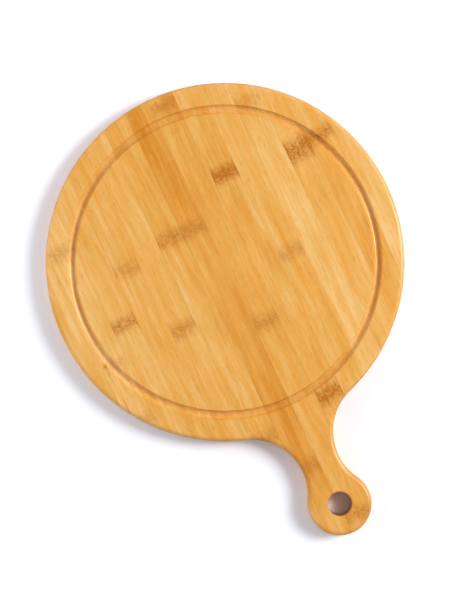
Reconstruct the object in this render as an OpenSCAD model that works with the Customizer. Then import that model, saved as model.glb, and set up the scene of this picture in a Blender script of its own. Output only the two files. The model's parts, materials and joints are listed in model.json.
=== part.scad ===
// Round pizza serving board of laminated bamboo, with a juice groove and a short handle.
// The origin is the centre of the disc on the underside. The handle points along -Y.

/* [Board] */
// Diameter of the round serving area
disc_d = 300; // [270:5:330]
// Whole length, from the far rim to the tip of the handle
board_l = 400; // [385:5:430]
// Thickness of the whole board
board_t = 15; // [13:0.5:20]
// Radius of the rounded edge along the top and along the underside
edge_r = 4; // [1:0.25:4.25]

/* [Handle] */
// Diameter of the round knob that ends the handle
knob_d = 53.5; // [50:0.5:60]
// Width of the handle at its waist, between the disc and the knob
neck_w = 33.4; // [30:0.2:38]
// Diameter of the hanging hole, in the middle of the knob
hole_d = 20; // [14:0.5:24]
// Width of the chamfer round each mouth of the hanging hole
hole_chamfer = 0.8; // [0.4:0.1:1.5]

/* [Juice groove] */
// Width of the groove at the serving face
groove_w = 7.5; // [5:0.5:11]
// Depth of the groove's round bottom below the serving face
groove_depth = 3; // [1.6:0.1:4]
// Width of the flat rim between the disc's edge and the groove
rim_w = 18.6; // [12:0.2:24]

/* [Bamboo plies] */
// Thickness of the top ply, and of the bottom ply
face_ply_t = 5; // [4.5:0.25:6]
// Number of strips in the top ply, even so that a seam runs down the handle. The bottom ply has one more.
strip_count = 14; // [14:2:16]
// Number of slats in the core ply, which run across the handle
slat_count = 19; // [17:1:21]
// How far the top strips sit off the middle, across the board
top_shift = -1; // [-1.4:0.2:-0.4]
// How far the bottom strips sit off the middle, across the board
bottom_shift = -1.8; // [-2.4:0.2:-1.4]
// How far the core slats sit off the middle, along the board
core_shift = -5; // [-5.5:0.5:-4]
// Least that the outline trims off the outermost strip or slat
edge_trim = 0.2; // [0.2:0.1:1]

/* [Hidden] */
$fn = 144;
// How far a cut or a slice runs past what it cuts
overrun = 1;

disc_r = disc_d / 2;
knob_r = knob_d / 2;
hole_r = hole_d / 2;
neck_half = neck_w / 2;
tip_y = disc_r - board_l;
knob_y = tip_y + knob_r;

// The two concave arcs of the neck touch the disc and the knob, and leave the waist between them.
// Their radius is the smaller root of square_share * r^2 + 2 * half_linear * r + constant = 0.
centres_gap = -knob_y;
step_share = (disc_r - knob_r) / centres_gap;
square_share = step_share * step_share;
chord_y = (centres_gap * centres_gap + disc_r * disc_r - knob_r * knob_r) / (2 * centres_gap);
half_linear = chord_y * step_share - disc_r + neck_half;
constant = chord_y * chord_y - disc_r * disc_r + neck_half * neck_half;
neck_arc_r = (-half_linear - sqrt(half_linear * half_linear - square_share * constant)) / square_share;
waist_y = -chord_y - step_share * neck_arc_r;
neck_arc_x = neck_half + neck_arc_r;

// Radius of the circle along the middle of the groove, and of the groove's round bottom,
// which is a half circle where the groove is deeper than that
groove_path_r = disc_r - rim_w - groove_w / 2;
cove_r = groove_depth > groove_w / 2 ? groove_w / 2
    : (groove_w * groove_w / 4 + groove_depth * groove_depth) / (2 * groove_depth);

// Levels of the glue lines between the plies
core_z = face_ply_t;
top_z = board_t - face_ply_t;
core_ply_t = board_t - 2 * face_ply_t;

// Bamboo from palest to deepest, and where each strip lies between the two
pale_bamboo = [0.93, 0.76, 0.49];
deep_bamboo = [0.80, 0.57, 0.29];
top_tone_shares = [0.3, 0.3, 0.5, 0.6, 0.5, 0.6, 1.0, 0.6, 0.6, 0.4, 0.0, 0.4, 0.6, 0.2];
bottom_tone_shares = [0.4, 0.7, 0.3, 0.5, 0.8, 0.4, 0.6, 0.2, 0.5, 0.7, 0.3, 0.6, 0.4, 0.8, 0.5];
core_tone_shares = [0.6, 0.8, 0.5, 0.9, 0.7];

function bamboo(shares, i) =
    let (share = shares[i % len(shares)]) pale_bamboo * (1 - share) + deep_bamboo * share;

// The strips and slats are just wide enough to cover the board from the place they are set off to
strip_w = (disc_d + 2 * (abs(top_shift) + edge_trim)) / strip_count;
slat_w = (board_l + 2 * (abs(core_shift) + edge_trim)) / slat_count;
bottom_count = strip_count + 1;

// Where each row of strips or slats begins
top_start = top_shift - strip_count * strip_w / 2;
bottom_start = bottom_shift - bottom_count * strip_w / 2;
core_start = (disc_r + tip_y) / 2 + core_shift - slat_count * slat_w / 2;

// How far the nearer edge of strip i lies to one side of the middle, and 0 if it reaches over it
function inner_edge(start, i, side) = max(0, side * (start + (i + (side > 0 ? 0 : 1)) * strip_w));

// The waist cuts such a strip in two, and leaves an ear of it on the knob
function is_cut(start, i, side) =
    let (edge = inner_edge(start, i, side)) edge >= neck_half && edge < knob_r;
function cut_strips(start, count, side) =
    [for (i = [0 : count - 1]) if (is_cut(start, i, side)) i];

function numbered(name, i) = str(name, i < 9 ? "_0" : "_", i + 1);
function numbered_all(name, count) = [for (i = [0 : count - 1]) numbered(name, i)];
function ear_name(ply, side) = str(ply, side < 0 ? "_ear_left" : "_ear_right");
function ear_names(ply, start, count) =
    [for (side = [-1, 1]) if (len(cut_strips(start, count, side)) > 0) ear_name(ply, side)];

// A round plate with its upper edge rounded over
module eased_disc(r) {
    rotate_extrude() intersection() {
        union() {
            square([r - edge_r, face_ply_t]);
            square([r, face_ply_t - edge_r]);
            translate([r - edge_r, face_ply_t - edge_r]) circle(edge_r);
        }
        square([r, face_ply_t]);
    }
}

// What one concave side of the neck loses, with the flare that rounds its upper edge over
module eased_neck_cut() {
    rotate_extrude() difference() {
        translate([0, -overrun]) square([neck_arc_r + edge_r, face_ply_t + 2 * overrun]);
        translate([neck_arc_r, -2 * overrun])
            square([edge_r + overrun, face_ply_t - edge_r + 2 * overrun]);
        translate([neck_arc_r + edge_r, face_ply_t - edge_r]) circle(edge_r);
    }
}

// Where the neck replaces the rounded rim of the disc or the knob: a wedge from its centre
// to the centres of the two concave arcs, less the flat middle that the neck runs into
module neck_mouth(centre_y, flat_r) {
    translate([0, 0, -overrun]) linear_extrude(face_ply_t + 2 * overrun) difference() {
        polygon([[0, centre_y], [neck_arc_x, waist_y], [-neck_arc_x, waist_y]]);
        translate([0, centre_y]) circle(flat_r);
    }
}

// The four-sided block that the neck is cut from
module neck_block(t) {
    linear_extrude(t) polygon([[0, 0], [neck_arc_x, waist_y], [0, knob_y], [-neck_arc_x, waist_y]]);
}

module at_neck_arcs() {
    for (side = [-1, 1]) translate([side * neck_arc_x, waist_y]) children();
}

// The board's outline, as thick as a face ply, its upper edge rounded over all the way round
module eased_outline() {
    difference() {
        eased_disc(disc_r);
        neck_mouth(0, disc_r - 2 * edge_r);
    }
    difference() {
        translate([0, knob_y]) eased_disc(knob_r);
        neck_mouth(knob_y, knob_r - 2 * edge_r);
    }
    difference() {
        neck_block(face_ply_t);
        at_neck_arcs() eased_neck_cut();
    }
}

// The same outline with square edges, as thick as the core
module square_outline() {
    cylinder(h = core_ply_t, r = disc_r);
    translate([0, knob_y]) cylinder(h = core_ply_t, r = knob_r);
    difference() {
        neck_block(core_ply_t);
        at_neck_arcs() translate([0, 0, -overrun])
            cylinder(h = core_ply_t + 2 * overrun, r = neck_arc_r);
    }
}

// The hanging hole through the whole board, with a chamfer at each mouth
module hanging_hole() {
    mouth_r = hole_r + hole_chamfer + overrun;
    mouth_h = hole_chamfer + overrun;
    translate([0, knob_y]) {
        translate([0, 0, -overrun]) cylinder(h = board_t + 2 * overrun, r = hole_r);
        translate([0, 0, -overrun]) cylinder(h = mouth_h, r1 = mouth_r, r2 = hole_r);
        translate([0, 0, board_t - hole_chamfer]) cylinder(h = mouth_h, r1 = hole_r, r2 = mouth_r);
    }
}

// The round-bottomed channel that catches the juice
module juice_groove() {
    cove_z = board_t - groove_depth + cove_r;
    rotate_extrude() translate([groove_path_r, cove_z]) {
        circle(cove_r);
        if (cove_z < board_t)
            translate([-cove_r, 0]) square([groove_w, board_t - cove_z + overrun]);
    }
}

// Keeps what lies between two corners of the board's plan
module keep_between(low, high) {
    intersection() {
        children();
        translate([low.x, low.y, -overrun])
            cube([high.x - low.x, high.y - low.y, board_t + 2 * overrun]);
    }
}

// One strip of a face ply. A strip that the waist cuts in two ends at the waist.
module strip(start, i) {
    cut = is_cut(start, i, -1) || is_cut(start, i, 1);
    left = start + i * strip_w;
    keep_between([left, cut ? waist_y : tip_y - overrun], [left + strip_w, disc_r + overrun])
        children();
}

// What the waist leaves of those strips on one side of the knob
module ear(start, count, side) {
    for (i = cut_strips(start, count, side)) {
        left = start + i * strip_w;
        keep_between([left, tip_y - overrun], [left + strip_w, waist_y]) children();
    }
}

module top_ply() {
    difference() {
        translate([0, 0, top_z]) eased_outline();
        juice_groove();
        hanging_hole();
    }
}

module core_ply() {
    difference() {
        translate([0, 0, core_z]) square_outline();
        hanging_hole();
    }
}

module bottom_ply() {
    difference() {
        translate([0, 0, face_ply_t]) mirror([0, 0, 1]) eased_outline();
        hanging_hole();
    }
}

module top_strip(i) {
    color(bamboo(top_tone_shares, i)) strip(top_start, i) top_ply();
}

module top_ear(side) {
    color(bamboo(top_tone_shares, 5)) ear(top_start, strip_count, side) top_ply();
}

module core_slat(i) {
    near = core_start + i * slat_w;
    color(bamboo(core_tone_shares, i))
        keep_between([-disc_r - overrun, near], [disc_r + overrun, near + slat_w]) core_ply();
}

module bottom_strip(i) {
    color(bamboo(bottom_tone_shares, i)) strip(bottom_start, i) bottom_ply();
}

module bottom_ear(side) {
    color(bamboo(bottom_tone_shares, 5)) ear(bottom_start, bottom_count, side) bottom_ply();
}

for (i = [0 : strip_count - 1])
    top_strip(i);
for (i = [0 : slat_count - 1])
    core_slat(i);
for (i = [0 : bottom_count - 1])
    bottom_strip(i);
for (side = [-1, 1]) {
    top_ear(side);
    bottom_ear(side);
}
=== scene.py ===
import json
import math
import random

import bpy
from mathutils import Matrix, Vector


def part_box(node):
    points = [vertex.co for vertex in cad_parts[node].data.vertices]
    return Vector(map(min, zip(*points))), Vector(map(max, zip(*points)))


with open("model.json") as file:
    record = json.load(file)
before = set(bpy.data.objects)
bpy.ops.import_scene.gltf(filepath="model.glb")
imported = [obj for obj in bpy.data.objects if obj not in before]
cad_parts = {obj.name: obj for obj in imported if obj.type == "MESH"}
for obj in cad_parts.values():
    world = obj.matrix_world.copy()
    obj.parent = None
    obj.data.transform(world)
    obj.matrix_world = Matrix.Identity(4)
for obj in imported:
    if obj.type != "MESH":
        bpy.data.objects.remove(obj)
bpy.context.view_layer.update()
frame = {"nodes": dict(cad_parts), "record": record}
mm = 0.001
print("board loaded:", len(frame["nodes"]), "pieces of bamboo")


# Small helpers for node trees

def addNode(tree, kind, **settings):
    node = tree.nodes.new(kind)
    for name, value in settings.items():
        setattr(node, name, value)
    return node


def plug(tree, source, target):
    if isinstance(source, bpy.types.NodeSocket):
        tree.links.new(source, target)
    else:
        target.default_value = source


def calc(tree, operation, a, b=0.0, c=0.0, clamp=False):
    node = addNode(tree, "ShaderNodeMath", operation=operation, use_clamp=clamp)
    for value, socket in zip((a, b, c), node.inputs):
        plug(tree, value, socket)
    return node.outputs[0]


def vectorCalc(tree, operation, a, b=None):
    node = addNode(tree, "ShaderNodeVectorMath", operation=operation)
    plug(tree, a, node.inputs[0])
    if b is not None:
        plug(tree, b, node.inputs[1])
    return node.outputs["Value" if operation in ("LENGTH", "DOT_PRODUCT") else "Vector"]


def xyz(tree, x, y, z):
    node = addNode(tree, "ShaderNodeCombineXYZ")
    for value, socket in zip((x, y, z), node.inputs):
        plug(tree, value, socket)
    return node.outputs[0]


def split(tree, vector):
    node = addNode(tree, "ShaderNodeSeparateXYZ")
    plug(tree, vector, node.inputs[0])
    return node.outputs


def noise(tree, vector, detail=2.0, roughness=0.5, distortion=0.0):
    node = addNode(tree, "ShaderNodeTexNoise")
    plug(tree, vector, node.inputs["Vector"])
    node.inputs["Scale"].default_value = 1.0
    node.inputs["Detail"].default_value = detail
    node.inputs["Roughness"].default_value = roughness
    node.inputs["Distortion"].default_value = distortion
    return node.outputs["Fac"]


def centred(tree, value, gain):  # turns noise, which runs from 0 to 1, into a swing to both sides of 0
    return calc(tree, "MULTIPLY", calc(tree, "SUBTRACT", value, 0.5), gain)


def rise(tree, value, low, high):  # 0 up to low, 1 from high on
    node = addNode(tree, "ShaderNodeMapRange", interpolation_type="SMOOTHSTEP")
    plug(tree, value, node.inputs["Value"])
    plug(tree, low, node.inputs["From Min"])
    plug(tree, high, node.inputs["From Max"])
    return node.outputs["Result"]


def fall(tree, value, low, high):  # 1 up to low, 0 from high on
    return calc(tree, "SUBTRACT", 1.0, rise(tree, value, low, high))


def hump(tree, value, width):  # 1 where the value is 0, and less to both sides
    ratio = calc(tree, "DIVIDE", value, width)
    return calc(tree, "EXPONENT", calc(tree, "MULTIPLY", calc(tree, "MULTIPLY", ratio, ratio), -1.0))


def mixColour(tree, share, a, b):
    node = addNode(tree, "ShaderNodeMix", data_type="RGBA")
    for value, socket in zip((share, a, b), (node.inputs[0], node.inputs[6], node.inputs[7])):
        plug(tree, value, socket)
    return node.outputs[2]


def newGroup(name, inputs, outputs):
    group = bpy.data.node_groups.new(name, "ShaderNodeTree")
    for socket, kind in inputs:
        group.interface.new_socket(socket, in_out="INPUT", socket_type=kind)
    for socket, kind in outputs:
        group.interface.new_socket(socket, in_out="OUTPUT", socket_type=kind)
    return group, addNode(group, "NodeGroupInput").outputs, addNode(group, "NodeGroupOutput").inputs


def useGroup(tree, group, **values):
    node = addNode(tree, "ShaderNodeGroup", node_tree=group)
    for name, value in values.items():
        plug(tree, value, node.inputs[name])
    return node.outputs


def srgb(red, green, blue):
    def linear(level):
        level = level / 255
        return level / 12.92 if level <= 0.04045 else ((level + 0.055) / 1.055) ** 2.4
    return (linear(red), linear(green), linear(blue), 1.0)


# Bamboo: long fibres, whose tone wanders between deep and pale, with warm streaks and dark pores.
# A gain says how far a layer moves the tone, and a share how much of a colour is mixed in.

bamboo = {
    "paleColour": srgb(248, 202, 128),
    "midColour": srgb(235, 173, 80),
    "deepColour": srgb(215, 136, 26),
    "warmColour": srgb(240, 156, 44),
    "warmLevels": (0.45, 0.7),
    "warmShare": 0.45,
    "poreColour": srgb(190, 118, 42),
    "poreLevels": (0.56, 0.7),
    "poreShare": 0.3,
    "poreDip": 0.4,  # how deep a pore lies in the relief of the fibres
    "ringColour": srgb(188, 110, 4),
    "sway": 7.0,  # mm that the fibres wander sideways
    "fineGain": 0.6,
    "fleckGain": 0.3,
    "streakGain": 0.75,
    "cloudGain": 0.85,
    "seedSteps": (37.0, 911.0, 13.0),  # mm that the figure moves from one piece to the next
    "roughness": 0.34,
    "roughnessGain": 0.15,
    "reliefHeight": 0.02,  # mm
    "reliefStrength": 0.6,
    "specular": 0.32,
    "coat": 0.25,
    "coatRoughness": 0.2,
}

layerScales = {  # how closely each layer repeats, per mm across and along the fibres
    "sway": (0.03, 0.014),
    "fine": (0.75, 0.03),
    "flecks": (0.9, 0.2),
    "streaks": (0.2, 0.012),
    "clouds": (0.045, 0.016),
    "warmth": (0.35, 0.02),
    "dashes": (2.2, 0.12),
    "bundles": (1.5, 0.1),
}


def layer(tree, place, name, **settings):
    across, along = layerScales[name]
    return noise(tree, vectorCalc(tree, "MULTIPLY", place, (across, along, across)), **settings)


def fibreGroup():
    tree, given, result = newGroup(
        "bambooFibres",
        [("Place", "NodeSocketVector"), ("Seed", "NodeSocketFloat")],
        [("Tone", "NodeSocketFloat"), ("Warmth", "NodeSocketFloat"),
         ("Pores", "NodeSocketFloat"), ("Relief", "NodeSocketFloat")],
    )
    seedShift = xyz(tree, *[calc(tree, "MULTIPLY", given["Seed"], step) for step in bamboo["seedSteps"]])
    place = vectorCalc(tree, "ADD", given["Place"], seedShift)
    sway = centred(tree, layer(tree, place, "sway", detail=1.0), bamboo["sway"])
    place = vectorCalc(tree, "ADD", place, xyz(tree, sway, 0.0, 0.0))

    fine = layer(tree, place, "fine", detail=4.0, roughness=0.62)
    flecks = layer(tree, place, "flecks", detail=3.0, roughness=0.6)
    streaks = layer(tree, place, "streaks")
    clouds = layer(tree, place, "clouds")
    closeTone = calc(tree, "ADD", centred(tree, fine, bamboo["fineGain"]),
                     centred(tree, flecks, bamboo["fleckGain"]))
    wideTone = calc(tree, "ADD", centred(tree, streaks, bamboo["streakGain"]),
                    centred(tree, clouds, bamboo["cloudGain"]))
    plug(tree, calc(tree, "ADD", closeTone, wideTone), result["Tone"])
    plug(tree, rise(tree, layer(tree, place, "warmth"), *bamboo["warmLevels"]), result["Warmth"])
    pores = rise(tree, layer(tree, place, "dashes", detail=1.5), *bamboo["poreLevels"])
    plug(tree, pores, result["Pores"])
    relief = calc(tree, "SUBTRACT", fine, calc(tree, "MULTIPLY", pores, bamboo["poreDip"]))
    plug(tree, relief, result["Relief"])
    return tree


# A ring is where the cane had a node: a mottled band across the strip, with frayed edges
# and thin tails along the fibres

ring = {
    "bend": 7.0,  # mm that it wanders along the strip
    "fray": 7.0,  # mm
    "fade": 1.8,  # where it is gone, in times its half length
    "curlLevels": (0.36, 0.62),
    "curlShare": 0.55,
    "hairLevels": (0.35, 0.65),
    "hairShare": 0.22,
    "plainShare": 0.26,
    "tailReach": 15.0,  # mm
    "tailLevels": (0.48, 0.72),
    "tailShare": 0.25,
    "pushReach": 12.0,  # mm
    "push": 6.0,  # mm that the fibres give way to the curls
    "seedStep": 17.3,
    "nextSeed": 1 / 7,  # from one ring of a piece to the next
}

mottleScales = {  # per mm across and along the fibres
    "bend": (0.1, 0.0),
    "fray": (0.8, 0.06),
    "curls": (0.24, 0.3),
    "hairs": (1.1, 0.16),
    "tails": (0.6, 0.02),
}


def ringGroup():
    tree, given, result = newGroup(
        "bambooRing",
        [("Place", "NodeSocketVector"), ("Along", "NodeSocketFloat"), ("Reach", "NodeSocketFloat"),
         ("Strength", "NodeSocketFloat"), ("Seed", "NodeSocketFloat")],
        [("Ring", "NodeSocketFloat"), ("Push", "NodeSocketFloat")],
    )
    place = split(tree, given["Place"])
    seed = calc(tree, "MULTIPLY", given["Seed"], ring["seedStep"])

    def mottle(name, **settings):
        across, along = mottleScales[name]
        return noise(tree, xyz(tree, calc(tree, "MULTIPLY", place[0], across),
                               calc(tree, "MULTIPLY", place[1], along), seed), **settings)

    bend = centred(tree, mottle("bend", detail=1.5), ring["bend"])
    fromRing = calc(tree, "SUBTRACT", calc(tree, "SUBTRACT", place[1], given["Along"]), bend)
    fray = centred(tree, mottle("fray", detail=3.0), ring["fray"])
    frayed = calc(tree, "ADD", calc(tree, "ABSOLUTE", fromRing), fray)
    patch = fall(tree, calc(tree, "DIVIDE", frayed, given["Reach"]), 0.0, ring["fade"])
    curls = mottle("curls", detail=3.0, roughness=0.62, distortion=1.4)
    hairs = rise(tree, mottle("hairs"), *ring["hairLevels"])
    curled = calc(tree, "MULTIPLY", rise(tree, curls, *ring["curlLevels"]), ring["curlShare"])
    dark = calc(tree, "ADD", curled, calc(tree, "MULTIPLY_ADD", hairs, ring["hairShare"], ring["plainShare"]))
    tails = calc(tree, "MULTIPLY", hump(tree, fromRing, ring["tailReach"]),
                 rise(tree, mottle("tails"), *ring["tailLevels"]))
    band = calc(tree, "MULTIPLY_ADD", tails, ring["tailShare"], calc(tree, "MULTIPLY", patch, dark))
    plug(tree, calc(tree, "MULTIPLY", band, given["Strength"], clamp=True), result["Ring"])
    push = calc(tree, "MULTIPLY", hump(tree, fromRing, ring["pushReach"]), centred(tree, curls, ring["push"]))
    plug(tree, push, result["Push"])
    return tree


fibres = fibreGroup()
rings = ringGroup()
print("figure of the bamboo made")


def alongFibres(tree, position, crosswise):  # millimetres, with the fibres along Y
    mapping = addNode(tree, "ShaderNodeMapping")
    plug(tree, position, mapping.inputs["Vector"])
    mapping.inputs["Scale"].default_value = (1 / mm, 1 / mm, 1 / mm)
    if crosswise:
        mapping.inputs["Rotation"].default_value = (0, 0, math.radians(90))
    return mapping.outputs["Vector"]


def shadeOf(tree, place, shades):
    total = 0.0
    for across, along, halfWidth, halfLength, amount in shades:
        offset = vectorCalc(tree, "SUBTRACT", place, (across, along, 0.0))
        ratio = vectorCalc(tree, "MULTIPLY", offset, (1 / halfWidth, 1 / halfLength, 0.0))
        spot = hump(tree, vectorCalc(tree, "LENGTH", ratio), 1.0)
        total = calc(tree, "MULTIPLY_ADD", spot, amount, total)
    return total


def figuredWood(tree, place, seed, tone, ringPlaces, shades):
    darkest = 0.0
    for number, (along, strength, reach) in enumerate(ringPlaces):
        band = useGroup(tree, rings, Place=place, Along=along, Reach=reach, Strength=strength,
                        Seed=seed + number * ring["nextSeed"])
        darkest = calc(tree, "MAXIMUM", darkest, band["Ring"])
        place = vectorCalc(tree, "ADD", place, xyz(tree, band["Push"], 0.0, 0.0))
    grain = useGroup(tree, fibres, Place=place, Seed=seed)

    ownTone = calc(tree, "ADD", shadeOf(tree, place, shades), tone)
    wood = addNode(tree, "ShaderNodeValToRGB")
    wood.color_ramp.elements[0].color = bamboo["deepColour"]
    wood.color_ramp.elements[1].color = bamboo["paleColour"]
    wood.color_ramp.elements.new(0.5).color = bamboo["midColour"]
    plug(tree, calc(tree, "ADD", grain["Tone"], ownTone, clamp=True), wood.inputs["Fac"])
    warmth = calc(tree, "MULTIPLY", grain["Warmth"], bamboo["warmShare"])
    colour = mixColour(tree, warmth, wood.outputs["Color"], bamboo["warmColour"])
    pores = calc(tree, "MULTIPLY", grain["Pores"], bamboo["poreShare"])
    colour = mixColour(tree, pores, colour, bamboo["poreColour"])
    return mixColour(tree, darkest, colour, bamboo["ringColour"]), grain["Relief"], place


# End grain is darker, where a face turns across the fibres. Less of it shows inside the groove. Painted shade
# darkens the rim's faces that turn sideways along the fibres, to dim their light line.

endGrainAndSideShade = {
    "faceLevels": (0.3, 0.8),  # how far a face has to turn
    "plainShare": 0.3,
    "bundleShare": 0.55,
    "bundleLevels": (0.5, 0.62),
    "grooveShare": 0.3,  # how much of it is left inside the rim
    "sideShare": 0.3,  # painted shade for the rim's faces that run along the fibres
    "rimFrom": 133,  # mm from the disc's middle, past the groove
    "rimBlend": 4,  # mm
}


def turnedTo(tree, axis):
    normal = split(tree, addNode(tree, "ShaderNodeTexCoord").outputs["Normal"])
    return rise(tree, calc(tree, "ABSOLUTE", normal[axis]), *endGrainAndSideShade["faceLevels"])


def withEndGrainAndSideShade(tree, colour, place, flatPlace, crosswise):
    bundles = rise(tree, layer(tree, place, "bundles", detail=1.0), *endGrainAndSideShade["bundleLevels"])
    fibreAxis = 0 if crosswise else 1
    onRim = rise(tree, vectorCalc(tree, "LENGTH", flatPlace), endGrainAndSideShade["rimFrom"],
                 endGrainAndSideShade["rimFrom"] + endGrainAndSideShade["rimBlend"])
    # painted shade: the rim's faces that turn sideways along the fibres are darkened, dimming their light
    # line
    paintedSideShade = calc(tree, "MULTIPLY", turnedTo(tree, 1 - fibreAxis),
                calc(tree, "MULTIPLY", onRim, endGrainAndSideShade["sideShare"]))
    colour = mixColour(tree, paintedSideShade, colour, bamboo["poreColour"])
    shown = calc(tree, "MULTIPLY_ADD", onRim, 1 - endGrainAndSideShade["grooveShare"], endGrainAndSideShade["grooveShare"])
    end = calc(tree, "MULTIPLY", turnedTo(tree, fibreAxis),
               calc(tree, "MULTIPLY_ADD", bundles, endGrainAndSideShade["bundleShare"], endGrainAndSideShade["plainShare"]))
    return mixColour(tree, calc(tree, "MULTIPLY", end, shown), colour, bamboo["poreColour"])


# Glue shows as a thin line at the edges of each strip and between the plies

glue = {
    "colour": srgb(150, 96, 44),
    "width": 0.3,  # mm
    "share": 0.22,
    "heights": [corner[2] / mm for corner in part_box("core_slat_10")],
}


def withGlue(tree, colour, place, edges):
    across, along, height = split(tree, place)
    toEdge = calc(tree, "MINIMUM", calc(tree, "SUBTRACT", across, edges[0]),
                  calc(tree, "SUBTRACT", edges[1], across))
    for glueHeight in glue["heights"]:
        fromGlue = calc(tree, "ABSOLUTE", calc(tree, "SUBTRACT", height, glueHeight))
        toEdge = calc(tree, "MINIMUM", toEdge, fromGlue)
    line = fall(tree, toEdge, 0.0, glue["width"])
    return mixColour(tree, calc(tree, "MULTIPLY", line, glue["share"]), colour, glue["colour"])


# Painted shade: the wall of the hanging hole is darkened, which also dims the floor seen through it

boreMount = next(mount for mount in frame["record"]["mounts"] if mount["kind"] == "bore")
hole = {
    "middle": (boreMount["pos_m"][0] / mm, boreMount["pos_m"][1] / mm, 0.0),
    "radius": boreMount["dims"]["r_mm"],
    "reach": 0.15,  # mm past the wall
    "share": 0.4,
    "colour": srgb(120, 70, 30),
}


def withPaintedHoleShade(tree, colour, flatPlace):
    fromHole = vectorCalc(tree, "LENGTH", vectorCalc(tree, "SUBTRACT", flatPlace, hole["middle"]))
    wall = fall(tree, fromHole, hole["radius"] + hole["reach"], hole["radius"] + 2 * hole["reach"])
    return mixColour(tree, calc(tree, "MULTIPLY", wall, hole["share"]), colour, hole["colour"])


def bambooMaterial(name, seed, tone, ringPlaces, edges, shades=(), crosswise=False):
    material = bpy.data.materials.new(name)
    material.use_nodes = True
    tree = material.node_tree
    position = addNode(tree, "ShaderNodeTexCoord").outputs["Object"]
    flatPlace = vectorCalc(tree, "MULTIPLY", position, (1 / mm, 1 / mm, 0.0))
    place = alongFibres(tree, position, crosswise)
    colour, relief, pushedPlace = figuredWood(tree, place, seed, tone, ringPlaces, shades)
    colour = withEndGrainAndSideShade(tree, colour, pushedPlace, flatPlace, crosswise)
    colour = withGlue(tree, colour, place, edges)
    # painted shade on the wall of the hanging hole
    colour = withPaintedHoleShade(tree, colour, flatPlace)

    shader = tree.nodes["Principled BSDF"]
    plug(tree, colour, shader.inputs["Base Color"])
    roughness = calc(tree, "ADD", bamboo["roughness"], centred(tree, relief, bamboo["roughnessGain"]))
    plug(tree, roughness, shader.inputs["Roughness"])
    bump = addNode(tree, "ShaderNodeBump")
    bump.inputs["Strength"].default_value = bamboo["reliefStrength"]
    bump.inputs["Distance"].default_value = bamboo["reliefHeight"] * mm
    plug(tree, relief, bump.inputs["Height"])
    plug(tree, bump.outputs["Normal"], shader.inputs["Normal"])
    shader.inputs["Specular IOR Level"].default_value = bamboo["specular"]
    shader.inputs["Coat Weight"].default_value = bamboo["coat"]
    shader.inputs["Coat Roughness"].default_value = bamboo["coatRoughness"]
    return material


def dress(nodeName, material):
    piece = frame["nodes"][nodeName]
    for slot in piece.material_slots:
        slot.material = material
    if not piece.material_slots:
        piece.data.materials.append(material)


def sides(nodeName, axis):
    low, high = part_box(nodeName)
    return low[axis] / mm, high[axis] / mm


# Top ply: tone 0 is the deepest strip and 1 the palest.
# A ring is (place along the board, strength, half length), in millimetres.
# A shade is (place across, place along, half width, half length, change of tone).

topPly = {
    "top_strip_01": {"tone": 0.64, "rings": []},
    "top_strip_02": {"tone": 0.78, "rings": [(65, 0.5, 6), (-38, 0.32, 5), (-90, 0.42, 6)],
                     "shades": [(-127.8, -36, 1.5, 2.5, -0.8), (-127, -50, 0.6, 11, -0.5),
                                (-125.5, -73, 0.6, 12, -0.75)]},
    "top_strip_03": {"tone": 0.62, "rings": [(-10.5, 0.95, 5.5)]},
    "top_strip_04": {"tone": 0.52, "rings": [(29.5, 0.5, 6)],
                     "shades": [(-76, -37, 12, 30, 0.08)]},
    "top_strip_05": {"tone": 0.57, "rings": [(-35, 0.66, 6.5)],
                     "shades": [(-55, 40, 12, 50, 0.12)]},
    "top_strip_06": {"tone": 0.52, "rings": [(38, 0.86, 6), (-148, 0.72, 6)],
                     "shades": [(-33, 95, 14, 40, -0.16)]},
    "top_strip_07": {"tone": 0.29, "rings": [(36.5, 0.8, 6.5), (-184, 0.66, 7)],
                     "shades": [(-10, -235, 12, 22, 0.2), (-10, -112, 12, 28, -0.2),
                                (-12, -12, 12, 35, 0.13), (-12, 105, 12, 34, -0.28)]},
    "top_strip_08": {"tone": 0.5, "rings": [(140, 0.72, 6), (-59, 0.7, 7), (-237, 0.8, 7)],
                     "shades": [(10, -37, 11, 32, -0.14), (10, -120, 9, 22, 0.1),
                                (10, -235, 10, 22, 0.1)]},
    "top_strip_09": {"tone": 0.5, "rings": [(66.5, 1.45, 6), (-136, 1.25, 6.5)]},
    "top_strip_10": {"tone": 0.55, "rings": [(-15.5, 0.58, 6)]},
    "top_strip_11": {"tone": 0.78, "rings": [(113, 0.4, 6)],
                     "shades": [(74, 80, 12, 45, -0.32)]},
    "top_strip_12": {"tone": 0.58, "rings": [(59, 1.3, 9)]},
    "top_strip_13": {"tone": 0.5, "rings": [(62, 1.0, 6)]},
    "top_strip_14": {"tone": 0.7, "rings": []},
    "top_ear_left": {"tone": 0.5, "rings": []},
    "top_ear_right": {"tone": 0.5, "rings": [(-237, 0.5, 6)]},
}

for number, (nodeName, look) in enumerate(topPly.items()):
    dress(nodeName, bambooMaterial(nodeName, number + 1, look["tone"], look["rings"], sides(nodeName, 0),
                                   look.get("shades", ())))
print("top ply dressed:", len(topPly), "pieces")


# Core and bottom ply: each piece draws its tone and two rings

hiddenPlies = {
    "tones": (0.35, 0.65),
    "ringGap": 230,  # mm
    "ringStrengths": (0.4, 0.9),
    "ringReaches": (5, 8),  # mm
    "seed": 11,
    "firstSeed": 31,  # of the figure, past those of the top ply
}
hiddenNames = sorted(name for name in frame["nodes"] if name not in topPly)
draw = random.Random(hiddenPlies["seed"])


def drawRings():
    start = draw.uniform(-hiddenPlies["ringGap"], 0)
    return [(start + step, draw.uniform(*hiddenPlies["ringStrengths"]),
             draw.uniform(*hiddenPlies["ringReaches"])) for step in (0, hiddenPlies["ringGap"])]


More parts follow.
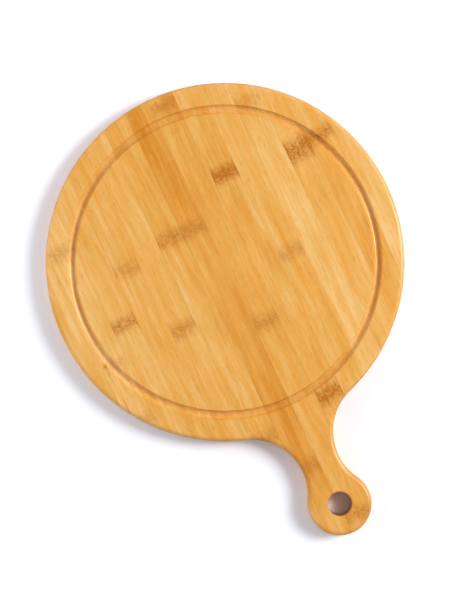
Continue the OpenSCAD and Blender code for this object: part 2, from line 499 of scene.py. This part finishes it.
for number, nodeName in enumerate(hiddenNames):
    tone = draw.uniform(*hiddenPlies["tones"])
    ringPlaces = drawRings()
    isCore = nodeName.startswith("core")
    low, high = sides(nodeName, 1 if isCore else 0)
    edges = (-high, -low) if isCore else (low, high)  # turning the core's fibres along Y flips its order
    dress(nodeName, bambooMaterial(nodeName, number + hiddenPlies["firstSeed"], tone, ringPlaces, edges,
                                   crosswise=isCore))
print("core and bottom ply dressed:", len(hiddenNames), "pieces")


# Camera, straight above the board and turned so that the handle points down and to the right

view = {
    "right": Vector((0.9034, -0.4288, 0.0)),
    "up": Vector((0.4288, 0.9034, 0.0)),
    "aim": Vector((-13.5, -34.1, 12.0)) * mm,
    "distance": 1.2,
    "pictureHeight": 0.5113,  # metres that the image shows at the aim
    "sensor": 36.0,
    "clipEnd": 20.0,
}


def makeCamera():
    camera = bpy.data.cameras.new("camera")
    camera.sensor_width = view["sensor"]
    camera.lens = view["sensor"] * view["distance"] / view["pictureHeight"]
    camera.clip_end = view["clipEnd"]
    cameraObject = bpy.data.objects.new("camera", camera)
    bpy.context.scene.collection.objects.link(cameraObject)
    turn = Matrix((view["right"], view["up"], view["right"].cross(view["up"]))).transposed().to_4x4()
    cameraObject.matrix_world = Matrix.Translation(view["aim"] + Vector((0, 0, view["distance"]))) @ turn
    bpy.context.scene.camera = cameraObject


makeCamera()


# Floor: white paper that keeps the shadow near the board and fades to plain white further out

floorLook = {
    "size": 12.0,
    "level": -0.0001,
    "colour": (1.175, 1.2, 1.265, 1.0),
    "bounceColour": (0.5, 0.5, 0.5, 1.0),  # what the board gets back from it
    "roughness": 0.9,
    "middle": (0.0, -0.05, 0.0),
    "fade": (0.25, 0.36),  # metres from that middle
}


def isSeen(tree):
    light = addNode(tree, "ShaderNodeLightPath").outputs
    return calc(tree, "MAXIMUM", light["Is Camera Ray"],
                calc(tree, "MAXIMUM", light["Is Glossy Ray"], light["Is Transmission Ray"]))


def makeFloor():
    bpy.ops.mesh.primitive_plane_add(size=floorLook["size"], location=(0, 0, floorLook["level"]))
    floor = bpy.context.object
    floor.name = "floor"
    material = bpy.data.materials.new("floorPaper")
    material.use_nodes = True
    tree = material.node_tree
    seen = isSeen(tree)
    paper = tree.nodes["Principled BSDF"]
    paper.inputs["Roughness"].default_value = floorLook["roughness"]
    paper.inputs["Specular IOR Level"].default_value = 0.0
    colour = mixColour(tree, seen, floorLook["bounceColour"], floorLook["colour"])
    plug(tree, colour, paper.inputs["Base Color"])
    place = addNode(tree, "ShaderNodeTexCoord").outputs["Object"]
    fromMiddle = vectorCalc(tree, "LENGTH", vectorCalc(tree, "SUBTRACT", place, floorLook["middle"]))
    faded = addNode(tree, "ShaderNodeMixShader")
    plug(tree, calc(tree, "MULTIPLY", rise(tree, fromMiddle, *floorLook["fade"]), seen), faded.inputs[0])
    plug(tree, paper.outputs[0], faded.inputs[1])
    plug(tree, addNode(tree, "ShaderNodeEmission").outputs[0], faded.inputs[2])
    plug(tree, faded.outputs[0], tree.nodes["Material Output"].inputs["Surface"])
    floor.data.materials.append(material)


makeFloor()


# Light: a dim sky, a key lamp on the image's right and a low window on its left

skyLook = {
    "colour": (0.96, 0.98, 1.05, 1.0),
    "horizonFill": 0.85,
    "topFill": 0.15,
    "heights": (0.2, 0.8),  # where the one turns into the other
    "farSide": 0.35,  # how much more light comes from past the image's top
    "seenColour": (1.0, 1.0, 1.0, 1.0),
    "seen": 1.0,
}
lamps = {  # towards: image right and image up; height in degrees; metres; light in W/m2 on the board
    "key": {
        "towards": (1.0, 0.25), "height": 36.5, "distance": 2.1, "size": (0.85, 0.85),
        "light": 2.2, "colour": (1.02, 1.0, 0.97), "shine": True,
    },
    "keyGlow": {
        "towards": (1.0, 0.25), "height": 36.5, "distance": 2.1, "size": (2.0, 2.0),
        "light": 0.68, "colour": (1.02, 1.0, 0.97), "shine": True,
    },
    "window": {
        "towards": (-1.0, 0.1), "height": 20.0, "distance": 1.15, "size": (1.5, 0.46),
        "light": 1.85, "colour": (0.99, 0.99, 1.02), "shine": False,  # so low, it would hide the wood
    },
}


def makeSky():
    world = bpy.data.worlds.new("studio")
    bpy.context.scene.world = world
    world.use_nodes = True
    tree = world.node_tree
    direction = addNode(tree, "ShaderNodeTexCoord").outputs["Generated"]
    high = rise(tree, split(tree, direction)[2], *skyLook["heights"])
    fill = calc(tree, "MULTIPLY_ADD", high, skyLook["topFill"] - skyLook["horizonFill"],
                skyLook["horizonFill"])
    far = vectorCalc(tree, "DOT_PRODUCT", direction, tuple(view["up"]))
    fill = calc(tree, "MULTIPLY", fill, calc(tree, "MULTIPLY_ADD", far, skyLook["farSide"], 1.0))
    seen = isSeen(tree)
    lit = calc(tree, "MULTIPLY", fill, calc(tree, "SUBTRACT", 1.0, seen))
    background = tree.nodes["Background"]
    colour = mixColour(tree, seen, skyLook["colour"], skyLook["seenColour"])
    plug(tree, colour, background.inputs["Color"])
    plug(tree, calc(tree, "MULTIPLY_ADD", seen, skyLook["seen"], lit), background.inputs["Strength"])


def towardsLamp(look):
    height = math.radians(look["height"])
    flat = (view["right"] * look["towards"][0] + view["up"] * look["towards"][1]).normalized()
    return flat * math.cos(height) + Vector((0, 0, math.sin(height)))


def makeLamp(name, look):
    lamp = bpy.data.lights.new(name, "AREA")
    lamp.shape = "ELLIPSE" if look["size"][0] == look["size"][1] else "RECTANGLE"
    lamp.size, lamp.size_y = look["size"]
    lamp.color = look["colour"]
    lamp.energy = look["light"] * math.pi * look["distance"] ** 2
    lampObject = bpy.data.objects.new(name, lamp)
    lampObject.visible_glossy = look["shine"]
    bpy.context.scene.collection.objects.link(lampObject)
    towards = towardsLamp(look)
    lampObject.location = view["aim"] + towards * look["distance"]
    lampObject.rotation_euler = towards.to_track_quat("Z", "Y").to_euler()


makeSky()
for name, look in lamps.items():
    makeLamp(name, look)
print("camera, floor and light set")

bpy.context.scene.view_settings.view_transform = "Standard"
